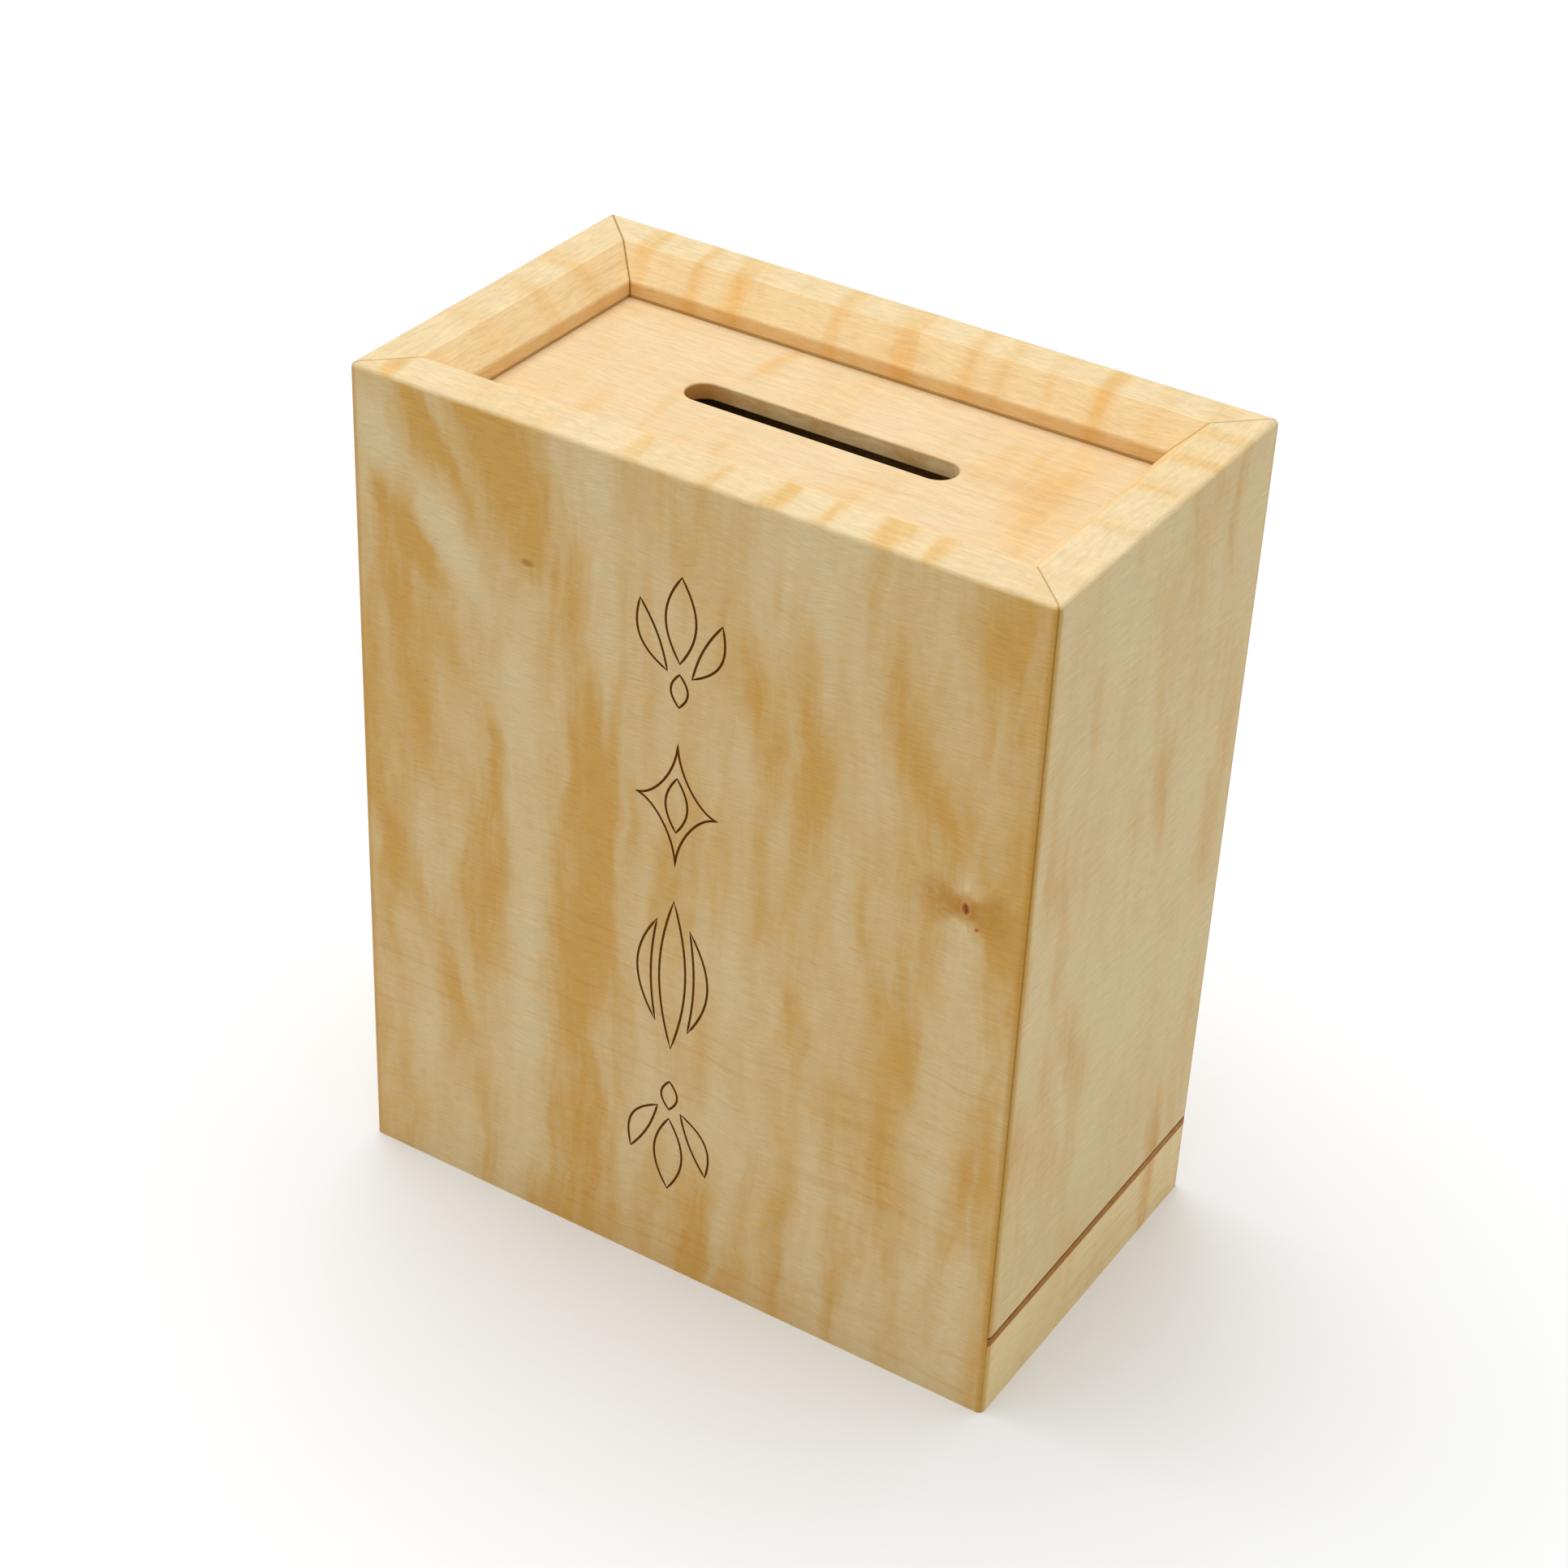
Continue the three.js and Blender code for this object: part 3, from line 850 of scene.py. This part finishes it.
# %% Sizes of the walls
wall_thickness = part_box("front_panel")[1].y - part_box("front_panel")[0].y
rim_bevel = 3.8 * MM
groove_depth = 3.4 * MM
clearance = 0.3 * MM
mitre_gap = 0.015 * MM      # half of the joint, as each board sees it
corner_round = 0.9 * MM
rim_round = 0.55 * MM
lip_round = 0.35 * MM
foot_round = 0.22 * MM

panel_low, panel_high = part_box("slot_panel")
board_low, board_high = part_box("floor_board")
tongue_thickness = 3 * MM
board_middle = (board_low.z + board_high.z) / 2
panel_line = 0.07 * MM       # the dark line seen round the panel
panel_groove = (panel_low.z - clearance, panel_high.z + panel_line)
floor_groove = (
    board_middle - tongue_thickness / 2 - clearance,
    board_middle + tongue_thickness / 2 + clearance,
)
print("wall thickness", round(wall_thickness / MM, 2))


# %% One wall, as it is run and mitred
def wall_section(bottom, top, grooves, bevel):
    """Corners of a section in Y and Z, with the outer face on y = 0."""
    inner = wall_thickness
    corners = [(0, bottom), (inner, bottom)]
    for low, high in grooves:
        corners += [(inner, low), (inner - groove_depth, low)]
        corners += [(inner - groove_depth, high), (inner, high)]
    if bevel:
        return corners + [(inner, top - bevel), (inner - bevel, top), (0, top)]
    return corners + [(inner, top), (0, top)]


def mitred_length(bm, length):
    """Cuts both ends at 45 degrees, each short of the joint by the mitre gap, and closes them."""
    for side in (-1, 1):
        whole = list(bm.verts) + list(bm.edges) + list(bm.faces)
        reach = length / 2 - mitre_gap * math.sqrt(2)
        bmesh.ops.bisect_plane(bm, geom=whole, dist=1e-7, plane_co=(side * reach, 0, 0),
                               plane_no=(side, 1, 0), clear_outer=True)
        open_edges = [e for e in bm.edges if e.is_boundary]
        bmesh.ops.holes_fill(bm, edges=open_edges, sides=0)
    bmesh.ops.recalc_face_normals(bm, faces=bm.faces)


def to_side(bm, quarter_turns):
    """Turns a board that faces the front to its own side of the box."""
    outward = box_size.x / 2 if quarter_turns % 2 else box_size.y / 2
    turn = Matrix.Rotation(quarter_turns * math.pi / 2, 4, "Z")
    bmesh.ops.transform(bm, matrix=turn @ Matrix.Translation((0, -outward, 0)), verts=bm.verts)


def run_board(length, bottom, top, grooves, bevel=0.0, round_top=True):
    section = wall_section(bottom, top, grooves, bevel)
    bm = bmesh.new()
    face = outline_face(bm, [(-length / 2, y, z) for y, z in section])
    drawn_out(bm, face, (length, 0, 0))
    corner = edges_where(bm, lambda m: near(abs(m.x), length / 2) and near(m.y, 0))
    if round_top:
        corner += edges_where(bm, lambda m: near(m.y, 0) and near(m.z, top))
        corner += edges_where(bm, lambda m: near(abs(m.x), length / 2) and near(m.z, top))
    ease(bm, corner, corner_round, 10)
    if bevel:
        inner = wall_thickness
        ease(bm, edges_where(bm, lambda m: near(m.y, inner - bevel) and near(m.z, top)), rim_round, 6)
        ease(bm, edges_where(bm, lambda m: near(m.y, inner) and near(m.z, top - bevel)), lip_round, 4)
    foot = edges_where(bm, lambda m: near(m.y, 0) and near(m.z, bottom) and abs(m.x) < length / 4)
    ease(bm, foot, foot_round, 3)
    mitred_length(bm, length)
    return bm


# %% [markdown]
# A spline is a thin slip of wood glued across each mitre. Its slot is cut in both boards at once, so the
# slip here is made first, and a copy of it with the glue's clearance does the cutting.

# %% Mitre splines
spline_width = 8 * MM
spline_thickness = 3 * MM


def spline_block(node, allowance=0.0):
    low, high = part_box(node)
    middle = (low + high) / 2
    half = Vector((spline_width / 2, spline_thickness / 2, (high.z - low.z) / 2))
    half += Vector((allowance, allowance, allowance))
    bm = block(-half, half)
    if not allowance:
        ease(bm, sharp_edges(bm), 0.3 * MM, 2)
    turn = math.pi / 4 if middle.x * middle.y < 0 else -math.pi / 4
    bmesh.ops.rotate(bm, matrix=Matrix.Rotation(turn, 3, "Z"), verts=bm.verts)
    bmesh.ops.translate(bm, vec=middle, verts=bm.verts)
    return bm


for end in ("front_left", "front_right", "back_left", "back_right"):
    spline = new_object(f"mitre_key_{end}", spline_block(f"{end}_spline"), [spline_finish])
    hand_over(spline, "casing", f"{end}_spline")

# %% Walls
walls = [
    ("front", 0, box_size.x, front_finish, ("front_left", "front_right")),
    ("right", 1, box_size.y, right_finish, ("front_right", "back_right")),
    ("back", 2, box_size.x, back_finish, ("back_left", "back_right")),
    ("left", 3, box_size.y, left_finish, ("front_left", "back_left")),
]
boards = {}
for side, quarter_turns, length, finish, ends in walls:
    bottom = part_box(f"{side}_panel")[0].z
    grooves = [panel_groove] if side == "right" else [floor_groove, panel_groove]
    bm = run_board(length, bottom, frame_high.z, grooves, rim_bevel)
    to_side(bm, quarter_turns)
    boards[side] = new_object(f"{side}_board", bm, [finish])
    for end in ends:
        cut(boards[side], new_object("slot_cutter", spline_block(f"{end}_spline", clearance)))

# %% [markdown]
# ## The ornament
# A column of four plain motifs is burnt into the front: sprigs, a lozenge and a bud, drawn as
# thin outlines. Painted lines would be flat, so each outline is a closed curve with a round section that
# is sunk into the board and cut away, and leaves a real groove with a burnt bed. A leaf needs only its
# foot and its tip: the curve's handles swell it to its width.

# %% Ornament
line_width = 0.38 * MM
line_depth = 0.22 * MM
ornament = bpy.data.curves.new("ornament", "CURVE")
ornament.dimensions = "3D"
ornament.bevel_depth = line_width / 2
ornament.bevel_resolution = 2
ornament.resolution_u = 14
front_face = frame_low.y
groove_centre = front_face + line_depth - line_width / 2


def on_front(x, z):
    return Vector((x * MM, groove_centre, z * MM))


def closed_curve(knots):
    """knots are (place, handle before, handle after), each an (x, z) pair in millimetres."""
    spline = ornament.splines.new("BEZIER")
    spline.bezier_points.add(len(knots) - 1)
    spline.use_cyclic_u = True
    for bezier, (place, before, after) in zip(spline.bezier_points, knots):
        bezier.handle_left_type = bezier.handle_right_type = "FREE"
        bezier.co = on_front(*place)
        bezier.handle_left = on_front(*before)
        bezier.handle_right = on_front(*after)


def leaf(foot, tip, width, belly=0.0):
    """An almond outline from foot to tip. Belly moves its middle sideways."""
    foot, tip = Vector(foot), Vector(tip)
    along = (tip - foot) * 0.36
    across = Vector((-along.y, along.x)).normalized()
    left = across * (belly + width / 1.5)
    right = across * (belly - width / 1.5)
    closed_curve([
        (foot, foot + along + right, foot + along + left),
        (tip, tip - along + left, tip - along + right),
    ])


def lozenge(centre, half_width, half_height, waist=0.55):
    """A diamond with hollow sides."""
    x, z = centre
    corners = [(x, z + half_height), (x + half_width, z), (x, z - half_height), (x - half_width, z)]
    pull = [((x + (cx - x) * waist), (z + (cz - z) * waist)) for cx, cz in corners]
    closed_curve([(corner, inward, inward) for corner, inward in zip(corners, pull)])


def sprig(height, up):
    """Three leaves from one point and a drop behind them. Up is 1 or -1."""
    leaf((0, height - 3.0 * up), (0, height + 9.5 * up), 4.6)
    for side in (-1, 1):
        leaf((1.9 * side, height - 4.6 * up), (6.2 * side, height + 4.6 * up), 2.9, -1.1 * side * up)
    leaf((0, height - 9.5 * up), (0, height - 4.6 * up), 2.6)


sprig(103.5, 1)
lozenge((0, 79), 6.4, 9.6)
leaf((0, 74.8), (0, 83.2), 3.4)
leaf((0, 39.2), (0, 63.8), 4.2)
for side in (-1, 1):
    leaf((2.6 * side, 43.0), (2.6 * side, 60.0), 2.2, -2.6 * side)
sprig(24, -1)

# %% Cut the ornament
drawing = bpy.data.objects.new("ornament", ornament)
bpy.context.scene.collection.objects.link(drawing)
worked = drawing.evaluated_get(bpy.context.evaluated_depsgraph_get())
groove_bm = bmesh.new()
groove_bm.from_mesh(bpy.data.meshes.new_from_object(worked))
bpy.data.objects.remove(drawing)
bmesh.ops.remove_doubles(groove_bm, verts=groove_bm.verts, dist=0.001 * MM)
bmesh.ops.recalc_face_normals(groove_bm, faces=groove_bm.faces)
boards["front"].data.materials.append(burnt_finish)
cut(boards["front"], new_object("groove_cutter", groove_bm, [burnt_finish]), cutter_folds=True)

for side, board in boards.items():
    hand_over(board, "casing", f"{side}_panel")

# %% [markdown]
# ## The slotted panel
# A thin panel floats in the grooves of the walls. Its coin slot was routed and its top edge eased with
# sandpaper. The slot's outline is two half circles, each spun from one vertex, and the panel is filled
# round it and drawn out. Rounding the slot's rim after that keeps the rounding even.

# %% Slotted panel
slot_length = 40.8 * MM
slot_width = 5.4 * MM
slot_centre = Vector((0.5 * MM, 1.25 * MM, panel_low.z))
slot_arc_steps = 24


def half_circle(bm, centre, radius, start):
    """Vertices spun half way round the centre, from an angle."""
    first = centre + Vector((math.cos(start), math.sin(start), 0)) * radius
    vert = bm.verts.new(first)
    bmesh.ops.spin(bm, geom=[vert], cent=centre, axis=(0, 0, 1), angle=math.pi, steps=slot_arc_steps)


def slotted_panel():
    bm = bmesh.new()
    reach = Vector((slot_length / 2 - slot_width / 2, 0, 0))
    half_circle(bm, slot_centre + reach, slot_width / 2, -math.pi / 2)
    half_circle(bm, slot_centre - reach, slot_width / 2, math.pi / 2)
    bm.verts.ensure_lookup_table()
    count = slot_arc_steps + 1
    bm.edges.new((bm.verts[count - 1], bm.verts[count]))
    bm.edges.new((bm.verts[2 * count - 1], bm.verts[0]))
    low, high = panel_low, panel_high
    corners = [(low.x, low.y), (high.x, low.y), (high.x, high.y), (low.x, high.y)]
    rim = [bm.verts.new((x, y, low.z)) for x, y in corners]
    for first, second in zip(rim, rim[1:] + rim[:1]):
        bm.edges.new((first, second))
    bmesh.ops.triangle_fill(bm, use_beauty=True, use_dissolve=False, edges=bm.edges)
    made = bmesh.ops.extrude_face_region(bm, geom=list(bm.faces))
    lifted = [part for part in made["geom"] if isinstance(part, bmesh.types.BMVert)]
    bmesh.ops.translate(bm, vec=(0, 0, high.z - low.z), verts=lifted)
    bmesh.ops.recalc_face_normals(bm, faces=bm.faces)
    inside = slot_length / 2 + 0.1 * MM
    for top, radius, steps in ((high.z, 0.3 * MM, 4), (low.z, 0.2 * MM, 3)):
        rim_edges = [
            e for e in sharp_edges(bm)
            if near(e.verts[0].co.z, top) and near(e.verts[1].co.z, top)
            and all(abs(v.co.x - slot_centre.x) < inside for v in e.verts)
        ]
        ease(bm, rim_edges, radius, steps)
    return bm


panel = new_object("coin_slot_panel", slotted_panel(), [panel_finish])
hand_over(panel, "casing", "slot_panel")

# %% [markdown]
# ## The sliding floor
# The floor is a board with a tongue on three edges that runs in the walls' grooves, and a fourth that is
# glued into the end strip. The strip and the red slip above it are mitred like the walls, which is what
# hides the way in. The strip comes from the foot of the right board, so it shares that board's figure.

# %% End strip and red slip
strip_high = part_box("end_strip")[1].z
slip_low, slip_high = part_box("accent_strip")
tongue_length = 3 * MM


def strip_layer(bottom, top):
    bm = run_board(box_size.y, bottom, top, [], round_top=False)
    to_side(bm, 1)
    return bm


strip = new_object("floor_end_strip", strip_layer(frame_low.z, strip_high), [strip_finish])
pocket = block(
    (board_high.x - tongue_length - clearance, board_low.y, floor_groove[0]),
    (board_high.x + clearance, board_high.y, floor_groove[1]),
)
cut(strip, new_object("pocket_cutter", pocket))
hand_over(strip, "sliding_floor", "end_strip")

slip = new_object("red_slip", strip_layer(slip_low.z, slip_high.z), [slip_finish])
hand_over(slip, "sliding_floor", "accent_strip")

# %% Floor board
def floor_board():
    right = board_high.x - tongue_length
    left = board_low.x + tongue_length
    half_y = board_high.y - tongue_length
    body = block((left, -half_y, board_low.z), (right, half_y, board_high.z))
    ease(body, sharp_edges(body), 0.3 * MM, 3)
    board = new_object("sliding_floor_board", body, [board_finish])
    low, high = floor_groove[0] + clearance, floor_groove[1] - clearance
    running = block((board_low.x, board_low.y, low), (right - 1 * MM, board_high.y, high))
    ease(running, sharp_edges(running), 0.35 * MM, 3)
    cut(board, new_object("running_tongue", running, [board_finish]), "UNION")
    gluing = block((right - 2 * MM, -half_y, low), (board_high.x, half_y, high))
    cut(board, new_object("strip_tongue", gluing, [board_finish]), "UNION")
    return board


# %% [markdown]
# ## Rods, pegs and bores
# Pegs, pins, the bolt and every hole are turned shapes. One helper stands a rod on its axis and gives it
# a chamfer. Steel pins also show the small hollow that the lathe's centre leaves in each end, and pegs
# have flutes that let glue escape. The same rod, plain and a little fatter, cuts each bore.

# %% Rods
ROD_AXES = {
    "x": Matrix.Rotation(math.pi / 2, 4, "Y"),
    "y": Matrix.Rotation(-math.pi / 2, 4, "X"),
    "z": Matrix.Identity(4),
}


def rod(axis, middle, radius, length, chamfer=0.0, dimple=0.0, flutes=0):
    bm = bmesh.new()
    segments = flutes * 4 if flutes else 96
    bmesh.ops.create_cone(bm, cap_ends=True, segments=segments, radius1=radius, radius2=radius,
                          depth=length)
    if flutes:
        sunk = [v for v in bm.verts if round(math.atan2(v.co.y, v.co.x) / math.tau * segments) % 4 == 0]
        bmesh.ops.scale(bm, vec=(0.9, 0.9, 1), verts=sunk)
    caps = [f for f in bm.faces if len(f.verts) > 4]
    if chamfer:
        ease(bm, list({e for cap in caps for e in cap.edges}), chamfer, 2)
        caps = [f for f in bm.faces if len(f.verts) > 4]
    if dimple:
        bmesh.ops.inset_region(bm, faces=caps, thickness=radius - chamfer - dimple, depth=0)
        for cap in caps:
            bmesh.ops.inset_region(bm, faces=[cap], thickness=dimple * 0.9, depth=-dimple * 0.6)
    bmesh.ops.transform(bm, matrix=Matrix.Translation(middle) @ ROD_AXES[axis], verts=bm.verts)
    return bm


def rod_in(node, axis, **shape):
    """A rod that fills a node's box."""
    low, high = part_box(node)
    size = high - low
    length = size["xyz".index(axis)]
    across = size["yzx".index(axis)]
    return rod(axis, (low + high) / 2, across / 2, length, **shape)


def bore(axis, middle, radius, length):
    return new_object("bore_cutter", rod(axis, middle, radius, length))


# %% Keeper and its pegs
glue_room = 0.3 * MM
peg_nodes = ("keeper_dowel_left", "keeper_dowel_right")


def drill_for_pegs(piece):
    for node in peg_nodes:
        low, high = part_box(node)
        radius = (high.x - low.x) / 2 + glue_room
        cut(piece, bore("z", (low + high) / 2, radius, high.z - low.z + 2 * glue_room))


board = floor_board()
drill_for_pegs(board)
hand_over(board, "sliding_floor", "floor_board")

for node, name in zip(peg_nodes, ("keeper_peg_left", "keeper_peg_right")):
    peg = new_object(name, rod_in(node, "z", chamfer=0.4 * MM, flutes=14), [upright_finish])
    hand_over(peg, "sliding_floor", node)

bolt_low, bolt_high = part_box("lock_bolt")
bolt_middle = (bolt_low + bolt_high) / 2
bolt_radius = (bolt_high.x - bolt_low.x) / 2
keeper_low, keeper_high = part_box("keeper_block")
keeper_bm = block(keeper_low, keeper_high)
upper = [e for e in sharp_edges(keeper_bm) if max(v.co.z for v in e.verts) > keeper_high.z - MM]
ease(keeper_bm, upper, 0.7 * MM, 4)
keeper = new_object("keeper", keeper_bm, [upright_finish])
through = (bolt_middle.x, 0, bolt_middle.z)
cut(keeper, bore("y", through, bolt_radius + clearance, 4 * (keeper_high.y - keeper_low.y)))
drill_for_pegs(keeper)
hand_over(keeper, "sliding_floor", "keeper_block")

# %% [markdown]
# ## The tilt lock
# One block, glued to the left end, holds everything that the puzzle hides: a channel for the keeper, the
# bolt's bore across the box, and two small bores behind the bolt for the pins that fall or roll when the
# box is tilted. A plug closes the upper one. It is cut from one board in the order a maker would cut it:
# chamfer, channel, then bores.

# %% Lock block
pin_low, pin_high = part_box("drop_pin")
pin_middle = (pin_low + pin_high) / 2
pin_radius = (pin_high.x - pin_low.x) / 2
block_low, block_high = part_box("lock_block")
top_chamfer = 4 * MM
bolt_travel = 12.6 * MM      # the range of the bolt_slide joint


def lock_block():
    bm = block(block_low, block_high)
    over_chamber = edges_where(bm, lambda m: near(m.x, block_high.x) and near(m.z, block_high.z))
    bmesh.ops.bevel(bm, geom=over_chamber, offset=top_chamfer, offset_type="OFFSET", segments=1,
                    profile=0.5, affect="EDGES", material=-1)
    ease(bm, sharp_edges(bm), 0.35 * MM, 3)
    made = new_object("lock_body", bm, [block_finish])
    channel = block(
        (keeper_low.x - clearance, keeper_low.y - clearance, block_low.z - MM),
        (block_high.x + MM, keeper_high.y + clearance, keeper_high.z + clearance),
    )
    cut(made, new_object("channel_cutter", channel))
    bore_end = bolt_low.y - bolt_travel - clearance
    bore_length = block_high.y + MM - bore_end
    bore_middle = (bolt_middle.x, bore_end + bore_length / 2, bolt_middle.z)
    cut(made, bore("y", bore_middle, bolt_radius + clearance, bore_length))
    up_length = block_high.z + MM - bolt_middle.z
    up_middle = (pin_middle.x, pin_middle.y, bolt_middle.z + up_length / 2)
    cut(made, bore("z", up_middle, pin_radius + clearance, up_length))
    side_length = bolt_middle.x - block_low.x + MM
    side_middle = (bolt_middle.x - side_length / 2, pin_middle.y, bolt_middle.z)
    cut(made, bore("x", side_middle, pin_radius + clearance, side_length))
    return made


hand_over(lock_block(), "casing", "lock_block")
plug = new_object("bore_plug", rod_in("pin_bore_plug", "z", chamfer=0.25 * MM), [upright_finish])
hand_over(plug, "casing", "pin_bore_plug")

# %% Bolt and pins
steel_parts = [
    ("steel_bolt", "lock_bolt", "y", "bolt", bolt_finish, 0.6, 0.9),
    ("steel_drop_pin", "drop_pin", "z", "falling_pin", drop_pin_finish, 0.4, 0.5),
    ("steel_side_pin", "side_pin", "x", "rolling_pin", side_pin_finish, 0.4, 0.5),
]
for name, node, axis, body, finish, chamfer, dimple in steel_parts:
    shape = rod_in(node, axis, chamfer=chamfer * MM, dimple=dimple * MM)
    hand_over(new_object(name, shape, [finish]), body, node)

# %% [markdown]
# ## Last update
# The visual model has to fill the same box as the frame. The view layer is brought up to date once more.

# %% Update
bpy.context.view_layer.update()
